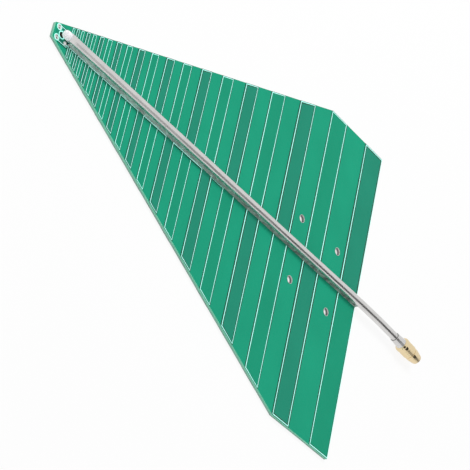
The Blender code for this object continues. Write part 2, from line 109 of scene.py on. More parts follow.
class BoardFinish(bpy.types.PropertyGroup):
    bare: colour_property("Bare stripe", "Mask over bare laminate", linear(34, 180, 141))
    near_copper: colour_property("Near copper", "Mask over copper on this face", linear(42, 161, 131))
    far_copper: colour_property("Far copper", "Mask over copper on the other face", linear(32, 172, 134))
    # painted highlight: the pale edge line is coloured near white, partly the mask's own clear edge and
    # partly painted highlight
    ridge: colour_property("Edge ridge", "Pale line along each copper edge", linear(172, 255, 240))
    # painted shade: the dark line on both sides of the pale one
    shade: colour_property("Edge shade", "Thin dark line on both sides of the pale one", linear(4, 72, 50))
    # painted light: the wall's colours are lighter than the laminate's own to make up for shade, and the
    # upper one paints the glow at the board's top edge
    wall: colour_property("Board wall", "Upper part of the sawn wall", linear(150, 255, 216))
    low_wall: colour_property("Low wall", "Lower part of the sawn wall", linear(178, 214, 200))
    ridge_width: length_property("Ridge width", "Width of the pale line at the rear", 0.82)
    shade_width: length_property("Shade width", "Width of the dark line under the pale one", 2.1)
    # painted glow: the pale edge lines and rings glow by emission
    painted_edge_glow: share_property("Edge glow", "Light that the clear edge of the mask gathers", 0.58)
    nose_share: share_property("Nose share", "Width of the lines at the nose, as a share", 0.5, low=0.1)
    shade_height: length_property("Shade height", "How far the dark line stands up", 0.035)
    ridge_height: length_property("Ridge height", "How far the pale line stands up", 0.05)
    film_lift: length_property("Film lift", "Height of the far copper's tone over the laminate", 0.02)
    weave_pitch: length_property("Weave pitch", "Spacing of the glass weave", 0.7)
    mask_gloss: share_property("Mask gloss", "How strongly the mask reflects", 0.06)
    barrel_wall: length_property("Barrel wall", "Plating in a mounting hole", 0.08)
    ring_width: length_property("Ring width", "Bright ring round a mounting hole", 0.1)
    rim_round: length_property("Rim rounding", "Rounding of the plated rims", 0.03)
    feed_ring_inner: length_property("Feed ring bore", "Inner radius of the pale ring", 1.28)
    feed_ring_outer: length_property("Feed ring radius", "Outer radius of the pale ring", 1.62)
    pad_ring_width: length_property("Pad ring width", "Pale ring round a nose pad", 0.2)
    bare_margin: length_property("Bare margin", "Round the pads and feed joint, where no line runs", 0.5)
    long_edge: length_property("Long edge", "Shortest straight edge of the board's outline", 5.0)
    strip_edge: length_property("Strip edge", "From the middle line to just past the strip's edges", 2.3)
    clear_strip: length_property("Clear strip", "Length from the nose with pale strip edges", 95.0)
    via_spacing: length_property("Via spacing", "Between the two vias of a pad", 0.95)
    via_mouth: length_property("Via mouth", "Radius of a via's dark mouth", 0.27)


class CableFinish(bpy.types.PropertyGroup):
    free_length: length_property("Free length", "Cable between the board and the ferrule", 28.0)
    side_bend: length_property("Side bend", "How far the free cable bends sideways", 0.9)
    shield_wall: length_property("Shield wall", "Wall of the metal tube", 0.2)
    shield_lip: length_property("Shield lip", "Rounding of the tube's cut end", 0.08)
    bulb_radius: length_property("Bulb radius", "Radius of the swollen white front end", 1.7)
    bulb_length: length_property("Bulb length", "White core ahead of the tube", 3.2)
    core_radius: length_property("Core radius", "Radius of the white core in the tube", 1.49)
    core_depth: length_property("Core depth", "How far the white core is modelled inside the tube", 12.0)
    wire_radius: length_property("Wire radius", "Radius of the centre conductor", 0.46)
    wire_bend: length_property("Wire bend", "Bend radius of the centre conductor", 0.8)
    solder_half_width: length_property("Solder half width", "Half the width of the tinned band", 1.98)
    solder_touch: FloatProperty(name="Solder touch", description="How far up the tube the solder climbs",
                                subtype="ANGLE", unit="ROTATION", default=math.radians(8.0))
    solder_waviness: length_property("Solder waviness", "How uneven the seams are", 0.14)
    tin: colour_property("Tin", "Tinned tube", (0.72, 0.71, 0.70))
    solder: colour_property("Solder", "Bright solder", (0.80, 0.80, 0.79))
    # the seam's darker colour towards the rear, running to the bright solder between the dull and bright
    # places
    dull_solder: colour_property("Dull solder", "Solder frozen under flux", (0.36, 0.38, 0.36))
    white: colour_property("Dielectric white", "White cable core", linear(250, 247, 255))
    # painted glow: the white core and insulator glow by emission
    white_painted_glow: share_property("White glow", "Light that spreads inside the white core", 0.24)
    dull_place: length_property("Dull seam place", "X where the seam is all dull", -60.0, low=-1.0)
    bright_place: length_property("Bright seam place", "X where the seam is all bright", 85.0, low=-1.0)
    copper: colour_property("Conductor", "Centre conductor", (0.83, 0.62, 0.46))


class JackFinish(bpy.types.PropertyGroup):
    gold: colour_property("Gold", "Gold plating", (0.82, 0.67, 0.42))
    ferrule_length: length_property("Ferrule length", "Soldered ferrule", 5.4)
    ferrule_flare: length_property("Ferrule flare", "Radius of the ferrule at the jack", 2.45)
    ferrule_lip: length_property("Ferrule lip", "Wall of the ferrule at the cable", 0.2)
    collar_radius: length_property("Collar radius", "Radius of the rear collar", 3.3)
    collar_length: length_property("Collar length", "Length of the rear collar", 2.2)
    collar_chamfer: length_property("Collar chamfer", "Chamfer at the rear of the collar", 0.8)
    barrel_radius: length_property("Barrel radius", "Radius of the threaded barrel", 3.17)
    barrel_length: length_property("Barrel length", "Length of the threaded barrel", 4.7)
    groove_radius: length_property("Groove radius", "Radius at the foot of the groove", 2.7)
    groove_length: length_property("Groove length", "Width of the groove", 0.4)
    front_radius: length_property("Front radius", "Radius behind the front taper", 3.0)
    front_length: length_property("Front length", "From the groove to the tip", 5.5)
    taper_length: length_property("Taper length", "Tapered part of the front", 3.6)
    tip_radius: length_property("Tip radius", "Radius at the tip", 2.35)
    edge: length_property("Edge rounding", "Rounding of the turned edges", 0.18)
    socket_depth: length_property("Socket depth", "How deep the cable sits in the jack", 3.0)
    insulator_radius: length_property("Insulator radius", "Radius of the white insulator", 2.05)
    contact_radius: length_property("Contact radius", "Radius of the centre contact", 0.635)
    contact_bore: length_property("Contact bore", "Radius of the contact's socket", 0.47)
    contact_depth: length_property("Contact depth", "Depth of the contact's socket", 2.4)
    clearance: length_property("Clearance", "Gap between the turned pieces", 0.1)
    thread_pitch: length_property("Thread pitch", "Pitch of the jack's thread", 0.7056)
    thread_depth: length_property("Thread depth", "Depth of the jack's thread", 0.3)
    turn_steps: IntProperty(name="Turning steps", description="Faces round a turned piece",
                            default=96, min=24, max=256)


class StudioSettings(bpy.types.PropertyGroup):
    lens: FloatProperty(name="Lens", description="Focal length of the camera in mm", default=163.23)
    sky: share_property("Sky", "Brightness of the studio room", 0.46)
    reflected_sky: share_property("Reflected sky", "Brightness of the room in reflections", 0.92)
    key_power: FloatProperty(name="Key light", description="Power of the large soft light",
                             unit="POWER", default=6.2, min=0.0)
    card_dark: share_property("Card dark", "Brightness of a card's dark end", 0.01)
    card_light: share_property("Card light", "Brightness of a card's light end", 0.62)
    floor_glow: share_property("Floor glow", "Brightness that shadows leave on the seen floor", 0.875)
    floor_share: share_property("Floor share", "How much of the light the seen floor takes", 0.155)


def board_finish():
    return bpy.context.scene.board_finish


def cable_finish():
    return bpy.context.scene.cable_finish


def jack_finish():
    return bpy.context.scene.jack_finish


# Materials

def set_input(node, name, value):
    """Give an input another node's output, a number or a colour."""
    socket = node.inputs[name]
    if isinstance(value, bpy.types.NodeSocket):
        node.id_data.links.new(value, socket)
    elif isinstance(value, (int, float)):
        socket.default_value = value
    else:
        socket.default_value = (*value, 1.0)


def new_material(name, colour, roughness=0.5, metallic=0.0):
    material = bpy.data.materials.new(name)
    material.use_nodes = True
    shader = material.node_tree.nodes["Principled BSDF"]
    set_input(shader, "Base Color", colour)
    set_input(shader, "Roughness", roughness)
    set_input(shader, "Metallic", metallic)
    return material, material.node_tree, shader


def add_node(tree, kind, inputs=None, **settings):
    """A new node with its settings and then its inputs, each by name or by number."""
    node = tree.nodes.new(kind)
    for name, value in settings.items():
        setattr(node, name, value)
    for name, value in (inputs or {}).items():
        set_input(node, name, value)
    return node


def calculate(tree, operation, *values):
    return add_node(tree, "ShaderNodeMath", dict(enumerate(values)), operation=operation).outputs[0]


def object_places(tree, stretch=(1.0, 1.0, 1.0)):
    """Places on the piece in metres, stretched along each axis."""
    places = add_node(tree, "ShaderNodeTexCoord").outputs["Object"]
    mapping = add_node(tree, "ShaderNodeMapping", {"Vector": places})
    mapping.inputs["Scale"].default_value = stretch
    return mapping.outputs["Vector"]


def grain(tree, *repeats, detail=3.0):
    """A noise with so many repeats per metre, the same along each axis or one number for each."""
    places = object_places(tree, repeats if len(repeats) == 3 else 3 * repeats)
    values = {"Scale": 1.0, "Detail": detail, "Vector": places}
    return add_node(tree, "ShaderNodeTexNoise", values).outputs["Fac"]


def ramp(tree, value, start, end, low, high):
    """A value mapped from start..end to low..high."""
    values = {"Value": value, "From Min": start, "From Max": end, "To Min": low, "To Max": high}
    return add_node(tree, "ShaderNodeMapRange", values).outputs["Result"]


def spread(tree, value, low, high):
    """A noise value mapped to a range."""
    return ramp(tree, value, NOISE_LOW, NOISE_HIGH, low, high)


def part_along(tree, vector, axis):
    return add_node(tree, "ShaderNodeSeparateXYZ", {0: vector}).outputs[axis]


def place_along(tree, axis):
    """The place on the piece along one axis, in metres."""
    return part_along(tree, object_places(tree), axis)


def on_wall(tree):
    """1 where the surface stands upright, 0 where it lies flat."""
    normal = add_node(tree, "ShaderNodeNewGeometry").outputs["True Normal"]
    return calculate(tree, "LESS_THAN", calculate(tree, "ABSOLUTE", part_along(tree, normal, "Z")), UPRIGHT)


def mix_colours(tree, factor, first, second):
    """A mix of two colours, which are inputs 6 and 7 and output 2 of the mix node."""
    values = {"Factor": factor, 6: first, 7: second}
    return add_node(tree, "ShaderNodeMix", values, data_type="RGBA").outputs[2]


def shaded(colour, share):
    return tuple(part * share for part in colour)


def mottled(tree, noise_value, colour, darkest, lightest):
    """A colour that a noise makes darker and lighter, between two shares of it."""
    return mix_colours(tree, spread(tree, noise_value, 0.0, 1.0), shaded(colour, darkest),
                       shaded(colour, lightest))


def roughen(tree, shader, noise_value, smoothest, roughest):
    set_input(shader, "Roughness", spread(tree, noise_value, smoothest, roughest))


def add_bump(tree, shader, height, depth):
    bump = add_node(tree, "ShaderNodeBump", {"Distance": depth, "Height": height})
    set_input(shader, "Normal", bump.outputs["Normal"])


def add_glow(shader, colour, strength):
    set_input(shader, "Emission Color", colour)
    set_input(shader, "Emission Strength", strength)


def mask_material(name, colour, weave_depth):
    """Green solder mask: faint mottling, a glass weave showing through and a soft gloss."""
    finish = board_finish()
    material, tree, shader = new_material(name, colour)
    set_input(shader, "Specular IOR Level", finish.mask_gloss)
    tone = mottled(tree, grain(tree, 45.0, detail=4.0), colour, darkest=0.95, lightest=1.05)
    set_input(shader, "Base Color", tone)
    waves = []
    for direction in ("X", "Y"):
        values = {"Scale": math.tau / (WAVE_FACTOR * finish.weave_pitch), "Vector": object_places(tree)}
        wave = add_node(tree, "ShaderNodeTexWave", values, bands_direction=direction)
        waves.append(wave.outputs["Fac"])
    add_bump(tree, shader, calculate(tree, "MULTIPLY", *waves), weave_depth)
    return material, tree, shader, tone


def laminate_material():
    """Mask on the two faces, and pale sawn laminate with fine layers on the walls, painted lighter and
    greener towards the top face as the glow of light at the board's edge.
    """
    finish = board_finish()
    material, tree, shader, tone = mask_material("laminate_green", finish.bare, weave_depth=0.01 * MM)
    low, high = low_corner("board").z, high_corner("board").z
    height = ramp(tree, place_along(tree, "Z"), low, high, -SAWN_CONTRAST, 1.0)
    layers = spread(tree, grain(tree, 40.0, 40.0, 2600.0, detail=2.0), 0.0, SAWN_CONTRAST)
    wall = mix_colours(tree, calculate(tree, "ADD", height, layers), finish.low_wall, finish.wall)
    set_input(shader, "Base Color", mix_colours(tree, on_wall(tree), tone, wall))
    return material


def pale_edge_material():
    """The clear, pale edge where the mask runs down beside the copper, coloured near white as a painted
    highlight and given a painted glow.
    """
    finish = board_finish()
    material, tree, shader = new_material("mask_edge_painted_highlight", finish.ridge)
    add_glow(shader, finish.ridge, finish.painted_edge_glow)
    return material


def tin_material(name, roughness, repeats, depth):
    """Tinned metal with slightly uneven gloss and marks that repeat so often per metre."""
    tin = cable_finish().tin
    material, tree, shader = new_material(name, tin, metallic=1.0)
    marks = grain(tree, *repeats, detail=4.0)
    roughen(tree, shader, marks, smoothest=0.8 * roughness, roughest=1.3 * roughness)
    tone = mottled(tree, grain(tree, 160.0), tin, darkest=0.9, lightest=1.0)
    set_input(shader, "Base Color", tone)
    add_bump(tree, shader, marks, depth)
    return material, tree, shader, tone


def cast_tin_material(name, roughness):
    return tin_material(name, roughness, repeats=(420.0,), depth=0.03 * MM)


def barrel_material():
    """Tinned barrel whose inside is darkened halfway down the hole by painted shade."""
    material, tree, shader, bright = cast_tin_material("plated_barrel", roughness=0.4)
    depth = calculate(tree, "SUBTRACT", place_along(tree, "Z"), middle_of("board").z)
    dark = ramp(tree, calculate(tree, "ABSOLUTE", depth), DARK_BARREL, BRIGHT_BARREL, 1.0, 0.0)
    shade = calculate(tree, "MULTIPLY", dark, on_wall(tree))
    dim = shaded(cable_finish().tin, BARREL_SHADE)
    set_input(shader, "Base Color", mix_colours(tree, shade, bright, dim))
    return material


def solder_material():
    """Bright solder that froze with soft ripples."""
    material, tree, shader = new_material("bright_solder", cable_finish().solder, metallic=0.85)
    ripples = grain(tree, 350.0, 700.0, 700.0)
    roughen(tree, shader, ripples, smoothest=0.2, roughest=0.42)
    add_bump(tree, shader, ripples, depth=0.06 * MM)
    return material


def seam_material():
    """Dull solder with brighter patches where the flux ran off, darker towards the rear and brighter
    towards the nose.
    """
    cable = cable_finish()
    material, tree, shader = new_material("dull_solder", cable.dull_solder)
    patches = grain(tree, 440.0, 760.0, 760.0, detail=5.0)
    dull = mottled(tree, patches, cable.dull_solder, darkest=0.35, lightest=1.7)
    bright = mottled(tree, patches, cable.solder, darkest=0.55, lightest=1.2)
    towards_nose = ramp(tree, place_along(tree, "X"), cable.dull_place, cable.bright_place, 0.0, 1.0)
    set_input(shader, "Base Color", mix_colours(tree, towards_nose, dull, bright))
    set_input(shader, "Metallic", spread(tree, patches, low=0.1, high=0.55))
    add_bump(tree, shader, patches, depth=0.2 * MM)
    return material


def white_core_material():
    """Waxy white plastic in which light spreads, with a painted glow on top."""
    cable = cable_finish()
    material, tree, shader = new_material("white_cable_core", cable.white)
    set_input(shader, "Subsurface Weight", 0.9)
    shader.inputs["Subsurface Radius"].default_value = WHITE
    set_input(shader, "Subsurface Scale", 1.5 * MM)
    add_glow(shader, cable.white, cable.white_painted_glow)
    roughen(tree, shader, grain(tree, 900.0, detail=2.0), smoothest=0.3, roughest=0.46)
    return material


def conductor_material():
    material, tree, shader = new_material("silvered_conductor", cable_finish().copper, metallic=1.0)
    roughen(tree, shader, grain(tree, 1200.0), smoothest=0.16, roughest=0.3)
    return material


def gold_material():
    """Polished gold plate with the faint rings that turning leaves, duller on the front taper."""
    jack = jack_finish()
    material, tree, shader = new_material("gold_plate", jack.gold, metallic=1.0)
    rings = grain(tree, 5200.0, 120.0, 120.0)
    taper = low_corner("connector_body").x + jack.taper_length
    dull = ramp(tree, place_along(tree, "X"), taper + DULL_START, taper + DULL_END, 0.0, DULL_ROUGHNESS)
    polish = spread(tree, rings, low=0.08, high=0.18)
    set_input(shader, "Roughness", calculate(tree, "MAXIMUM", polish, dull))
    add_bump(tree, shader, rings, depth=0.006 * MM)
    return material


def dress(node, material):
    """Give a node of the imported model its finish."""
    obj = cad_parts[node]
    if not obj.material_slots:
        obj.data.materials.append(material)
    for holder in obj.material_slots:
        holder.material = material


# Shapes

def add_object(name, shape):
    """Make a bmesh an object of the scene."""
    mesh = bpy.data.meshes.new(name)
    shape.to_mesh(mesh)
    shape.free()
    obj = bpy.data.objects.new(name, mesh)
    bpy.context.scene.collection.objects.link(obj)
    return obj


def new_piece(name, shape, material, smooth_angle=35.0, replaces=()):
    """Finish a bmesh as a piece that belongs to the antenna."""
    obj = add_object(name, shape)
    if smooth_angle:
        obj.data.shade_smooth()
        obj.data.set_sharp_from_angle(angle=math.radians(smooth_angle))
    obj.data.materials.append(material)
    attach(obj, "root")
    if replaces:
        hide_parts(*replaces)
    return obj


def low_corner(node):
    return Vector(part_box(node)[0])


def high_corner(node):
    return Vector(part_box(node)[1])


def face_of(node, upward):
    """The up or down facing side of a node, as a bmesh of its own."""
    shape = bmesh.new()
    shape.from_mesh(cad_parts[node].data)
    bmesh.ops.remove_doubles(shape, verts=shape.verts, dist=1e-6)
    sign = 1 if upward else -1
    others = [face for face in shape.faces if face.normal.z * sign < FLAT]
    bmesh.ops.delete(shape, geom=others, context="FACES")
    return shape


def level(shape, height):
    """Bring a flat face to a height."""
    for vert in shape.verts:
        vert.co.z = height


def film(name, node, upward, height, material):
    shape = face_of(node, upward)
    level(shape, height)
    new_piece(name, shape, material, smooth_angle=0.0)


def everything(shape):
    return [*shape.verts, *shape.edges, *shape.faces]


def move(shape, place):
    bmesh.ops.translate(shape, vec=place, verts=shape.verts)


def middle_of(node):
    return (low_corner(node) + high_corner(node)) / 2


def half_length(node):
    return (high_corner(node).x - low_corner(node).x) / 2


def edge_wires(node, covered):
    """The edges of a copper sheet, except round the nose pads and the feed joint.

    Where solder covers the strip, its edges behind the part that shows pale are left out too.
    """
    finish = board_finish()
    joints = [(middle_of(joint).to_2d(), half_length(joint) + finish.bare_margin)
              for joint in ("nose_pad_left", "nose_pad_right", "feed_solder")]
    shape = face_of(node, True)
    level(shape, 0.0)
    bmesh.ops.delete(shape, geom=list(shape.faces), context="FACES_KEEP_BOUNDARY")
    left_out = {vert for vert in shape.verts
                if any((vert.co.to_2d() - middle).length < reach for middle, reach in joints)}
    if covered:
        clear = high_corner("board").x - finish.clear_strip
        left_out |= {vert for vert in shape.verts
                     if abs(vert.co.y) < finish.strip_edge and vert.co.x < clear}
    hidden = [edge for edge in shape.edges if left_out.issuperset(edge.verts)]
    bmesh.ops.delete(shape, geom=hidden, context="EDGES")
    return shape


def ridge(name, heights, width, rise, material, covered):
    """A low rounded line along the copper's edges, narrower towards the nose.

    The edges of each node in heights get their line at the height given there.
    """
    share = board_finish().nose_share
    front, rear = high_corner("board").x, low_corner("board").x
    whole = bmesh.new()
    for node, height in heights.items():
        wire = add_object(name + "_outline", edge_wires(node, covered))
        bpy.ops.object.select_all(action="DESELECT")
        wire.select_set(True)
        bpy.context.view_layer.objects.active = wire
        bpy.ops.object.convert(target="CURVE")
        wire.data.bevel_depth = width / 2
        wire.data.bevel_resolution = 1
        wire.data.use_fill_caps = True
        for spline in wire.data.splines:
            for point in spline.points:
                point.radius = share + (1.0 - share) * (front - point.co.x) / (front - rear)
        bpy.ops.object.convert(target="MESH")
        part = bmesh.new()
        part.from_mesh(wire.data)
        bmesh.ops.scale(part, vec=(1.0, 1.0, 2 * rise / width), verts=part.verts)
        move(part, UP * height)
        part.to_mesh(wire.data)
        part.free()
        whole.from_mesh(wire.data)
        bpy.data.objects.remove(wire, do_unlink=True)
    trim_to_board(whole)
    new_piece(name, whole, material, smooth_angle=60.0)


def trim_to_board(shape):
    """Cut off what stands past the board's straight edges and close each cut."""
    outline = face_of("board", True)
    middle = middle_of("board")
    for edge in outline.edges:
        if edge.is_boundary and edge.calc_length() > board_finish().long_edge:
            start, end = (vert.co for vert in edge.verts)
            outward = (end - start).cross(UP)
            if outward.dot(start - middle) < 0.0:
                outward.negate()
            cut = bmesh.ops.bisect_plane(shape, geom=everything(shape), plane_co=start,
                                         plane_no=outward, clear_outer=True)
            rims = [item for item in cut["geom_cut"] if isinstance(item, bmesh.types.BMEdge)]
            bmesh.ops.holes_fill(shape, edges=rims)
    outline.free()


def lathe(profile, steps=64):
    """A profile of distance along the axis and radius, turned about X."""
    shape = bmesh.new()
    verts = [shape.verts.new((place, 0.0, radius)) for place, radius in profile]
    edges = [shape.edges.new(pair) for pair in zip(verts, verts[1:])]
    if profile[0][1] > 0.0 and profile[-1][1] > 0.0:
        edges.append(shape.edges.new((verts[-1], verts[0])))
    bmesh.ops.spin(shape, geom=verts + edges, cent=(0, 0, 0), axis=(1, 0, 0), angle=math.tau,
                   steps=steps, use_merge=True)
    bmesh.ops.remove_doubles(shape, verts=shape.verts, dist=1e-7)
    bmesh.ops.recalc_face_normals(shape, faces=shape.faces)
    return shape


def curve(start, corner, end, steps):
    """Points from start to end on a curve that bends towards the corner."""
    shares = [step / steps for step in range(steps + 1)]
    return [start * (1 - share) ** 2 + corner * 2 * share * (1 - share) + end * share ** 2
            for share in shares]


def rounded(corners, radius, steps=4):
    """A profile with each corner drawn as a small curve instead."""
    soft = []
    for places in zip(corners[-1:] + corners[:-1], corners, corners[1:] + corners[:1]):
        before, corner, after = map(Vector, places)
        start, end = (corner + side.normalized() * min(radius, side.length * CORNER_SHARE)
                      for side in (before - corner, after - corner))
        soft += map(tuple, curve(start, corner, end, steps))
    return soft


def swell(place, share, repeats):
    """How far a noise swells or shrinks a round form at a place."""
    return 1.0 + share * noise.noise(place * repeats)


def stand_up(shape, place):
    """Stand a shape turned about X up about Z and move it to a place on the board."""
    turn = Matrix.Rotation(-math.pi / 2, 3, "Y")
    bmesh.ops.rotate(shape, cent=(0, 0, 0), matrix=turn, verts=shape.verts)
    move(shape, (place.x, place.y, 0.0))


def cable_radius():
    return (high_corner("coax_shield").z - low_corner("coax_shield").z) / 2


def cable_height():
    return middle_of("coax_shield").z


def cable_point(distance):
    """A place on the cable's axis, at a distance behind the board's rear edge (less than 0 over it)."""
    cable = cable_finish()
    rear = low_corner("board").x
    if distance <= 0.0:
        return Vector((rear - distance, 0.0, cable_height()))
    share = distance / cable.free_length
    if share <= 1.0:
        return Vector((rear - distance, cable.side_bend * share ** 2, cable_height()))
    end = Vector((rear - cable.free_length, cable.side_bend, cable_height()))
    return end + jack_direction() * (distance - cable.free_length)


def jack_direction():
    cable = cable_finish()
    return Vector((-1.0, 2 * cable.side_bend / cable.free_length, 0.0)).normalized()


def on_jack_axis(shape, start):
    """Move a shape turned about X onto the jack's axis, start metres past the ferrule's rear end."""
    cable = cable_finish()
    turn = Vector((1.0, 0.0, 0.0)).rotation_difference(jack_direction()).to_matrix().to_4x4()
    place = cable_point(cable.free_length) + jack_direction() * start
    bmesh.ops.transform(shape, matrix=Matrix.Translation(place) @ turn, verts=shape.verts)
    bmesh.ops.recalc_face_normals(shape, faces=shape.faces)


def extrude(shape, edges):
    """Extrude edges in place, and give the new vertices and the new edges between them."""
    grown = bmesh.ops.extrude_edge_only(shape, edges=edges)["geom"]
    verts = [item for item in grown if isinstance(item, bmesh.types.BMVert)]
    return verts, [item for item in grown if isinstance(item, bmesh.types.BMEdge)
                   and all(vert in verts for vert in item.verts)]


def sweep(path, radius, sides, capped):
    """A round section drawn along a path by extruding its last ring again and again."""
    shape = bmesh.new()
    heading = (path[1] - path[0]).normalized()
    start = Matrix.Translation(path[0]) @ UP.rotation_difference(heading).to_matrix().to_4x4()
    bmesh.ops.create_circle(shape, cap_ends=capped, segments=sides, radius=radius, matrix=start)
    ring = list(shape.edges)
    for index in range(1, len(path)):
        following = path[min(index + 1, len(path) - 1)] - path[index - 1]
        onward = heading.rotation_difference(following.normalized()).to_matrix().to_4x4()
        verts, ring = extrude(shape, ring)
        step = Matrix.Translation(path[index]) @ onward @ Matrix.Translation(-path[index - 1])
        bmesh.ops.transform(shape, matrix=step, verts=verts)
        heading = following.normalized()
    if capped:
        bmesh.ops.contextual_create(shape, geom=ring)
    bmesh.ops.recalc_face_normals(shape, faces=shape.faces)
    return shape


class ANTENNA_OT_board(bpy.types.Operator):
    """Green mask, the copper's tones on both faces and the pale line along each copper edge, with its
    painted highlight and glow and a dark line of painted shade beside it
    """
    bl_idname = "antenna.board"
    bl_label = "Board"

    def execute(self, context):
        finish = board_finish()
        dress("board", laminate_material())
        near = mask_material("near_copper_mask", finish.near_copper, weave_depth=0.006 * MM)[0]
        far = mask_material("far_copper_mask", finish.far_copper, weave_depth=0.008 * MM)[0]
        for node in ("top_copper", "bottom_copper"):
            dress(node, near)
        top, bottom = high_corner("board").z, low_corner("board").z
        film("far_copper_seen_on_top", "bottom_copper", True, top + finish.film_lift, far)
        film("far_copper_seen_below", "top_copper", False, bottom - finish.film_lift, far)
        # the pale lines carry a painted highlight and glow, and the dark lines under them are painted shade
        pale = pale_edge_material()
        dark = new_material("copper_foot_painted_shade", finish.shade)[0]
        lines = (("edge_lines", finish.ridge_width, finish.ridge_height, pale),
                 ("edge_shade", finish.shade_width, finish.shade_height, dark))
        above = {"top_copper": high_corner("top_copper").z, "bottom_copper": top}
        below = {"bottom_copper": low_corner("bottom_copper").z + finish.ridge_height,
                 "top_copper": bottom}
        for name, *form in lines:
            ridge(name + "_top", above, *form, covered=True)
            ridge(name + "_below", below, *form, covered=False)
        return {"FINISHED"}


class ANTENNA_OT_mounts(bpy.types.Operator):
    """Plated barrels of the mounting holes, with rounded rims"""
    bl_idname = "antenna.mounts"
    bl_label = "Mounting holes"

    def execute(self, context):
        finish = board_finish()
        metal = barrel_material()
        core_low, core_high = low_corner("board").z, high_corner("board").z
        for number in range(1, 5):
            node = "mount_barrel_%d" % number
            low, high = low_corner(node).z, high_corner(node).z
            outer = half_length(node)
            wall = outer - finish.ring_width
            bore = wall - finish.barrel_wall
            section = [(high, bore), (high, outer), (core_high, outer), (core_high, wall),
                       (core_low, wall), (core_low, outer), (low, outer), (low, bore)]
            shape = lathe(rounded(section, finish.rim_round))
            stand_up(shape, middle_of(node))
            new_piece("plated_barrel_%d" % number, shape, metal, replaces=(node,))
        return {"FINISHED"}


class ANTENNA_OT_nose(bpy.types.Operator):
    """Plated pads, their vias as dark discs of painted shade, the solder tack and the joint in the feed
    hole
    """
    bl_idname = "antenna.nose"
    bl_label = "Nose"

    def execute(self, context):
        metal = solder_material()
        for node in ("nose_pad_left", "nose_pad_right", "feed_solder"):
            dress(node, metal)
        self.make_blob(metal)
        dark = new_material("painted_hole_shade", linear(*PAINTED_HOLE_SHADE), roughness=0.7)[0]
        pale = bpy.data.materials["mask_edge_painted_highlight"]
        self.make_feed_hole(dark, pale)
        for side in ("left", "right"):
            self.make_pad_ring(side, pale)
            self.make_via_mouths(side, dark)
        return {"FINISHED"}

    def make_blob(self, material):
        """The solder tack: a low, slightly uneven dome."""
        low, high = low_corner("solder_tack"), high_corner("solder_tack")
        radius = half_length("solder_tack")
        shape = bmesh.new()
        bmesh.ops.create_uvsphere(shape, u_segments=48, v_segments=32, radius=radius)
        bmesh.ops.bisect_plane(shape, geom=everything(shape), plane_co=(0, 0, 0),
                               plane_no=(0, 0, -1), clear_outer=True)
        rim = [edge for edge in shape.edges if edge.is_boundary]
        bmesh.ops.contextual_create(shape, geom=rim)
        bmesh.ops.scale(shape, vec=(1.0, 1.0, (high.z - low.z) / radius), verts=shape.verts)
        for vert in shape.verts:
            vert.co.xy *= swell(vert.co, share=0.06, repeats=1400.0)
        centre = middle_of("solder_tack")
        move(shape, (centre.x, centre.y, low.z))
        new_piece("solder_blob", shape, material, replaces=("solder_tack",))

    def make_feed_hole(self, dark, pale):
        """A dark disc of painted shade in the feed hole round the conductor, and the pale ring round it
        with its painted highlight and glow.
        """
        finish = board_finish()
        low, high = high_corner("feed_solder").z, high_corner("board").z + 2 * finish.film_lift
        wire, bore = cable_finish().wire_radius, half_length("feed_solder")
        shape = lathe([(low, wire), (low, bore), (high, bore), (high, wire)])
        stand_up(shape, middle_of("feed_solder"))
        new_piece("feed_hole_painted_shade", shape, dark)
        self.make_ring("feed_ring", "feed_solder", finish.feed_ring_inner, finish.feed_ring_outer, pale)

    def make_ring(self, name, node, inner, outer, material):
        """A flat ring that stands a little above the copper, round a node."""
        low, high = high_corner("board").z, high_corner("top_copper").z + board_finish().ridge_height
        shape = lathe([(low, inner), (low, outer), (high, outer), (high, inner)])
        stand_up(shape, middle_of(node))
        new_piece(name, shape, material)

    def make_pad_ring(self, side, material):
        """The edge of the mask's opening round a nose pad, in the pale edge colour with its painted
        highlight and glow.
        """
        node = "nose_pad_" + side
        radius = half_length(node)
        self.make_ring("pad_ring_" + side, node, radius, radius + board_finish().pad_ring_width, material)

    def make_via_mouths(self, side, material):
        """The mouths of the two vias in a nose pad, as dark discs of painted shade."""
        finish = board_finish()
        node = "nose_pad_" + side
        shape = bmesh.new()
        for sign in (1, -1):
            place = middle_of(node) + Vector((0.0, sign * finish.via_spacing / 2, 0.0))
            place.z = high_corner(node).z
            bmesh.ops.create_cone(shape, cap_ends=True, segments=32, radius1=finish.via_mouth,
                                  radius2=finish.via_mouth, depth=2 * finish.film_lift,
                                  matrix=Matrix.Translation(place))
        new_piece("via_mouths_" + side, shape, material)


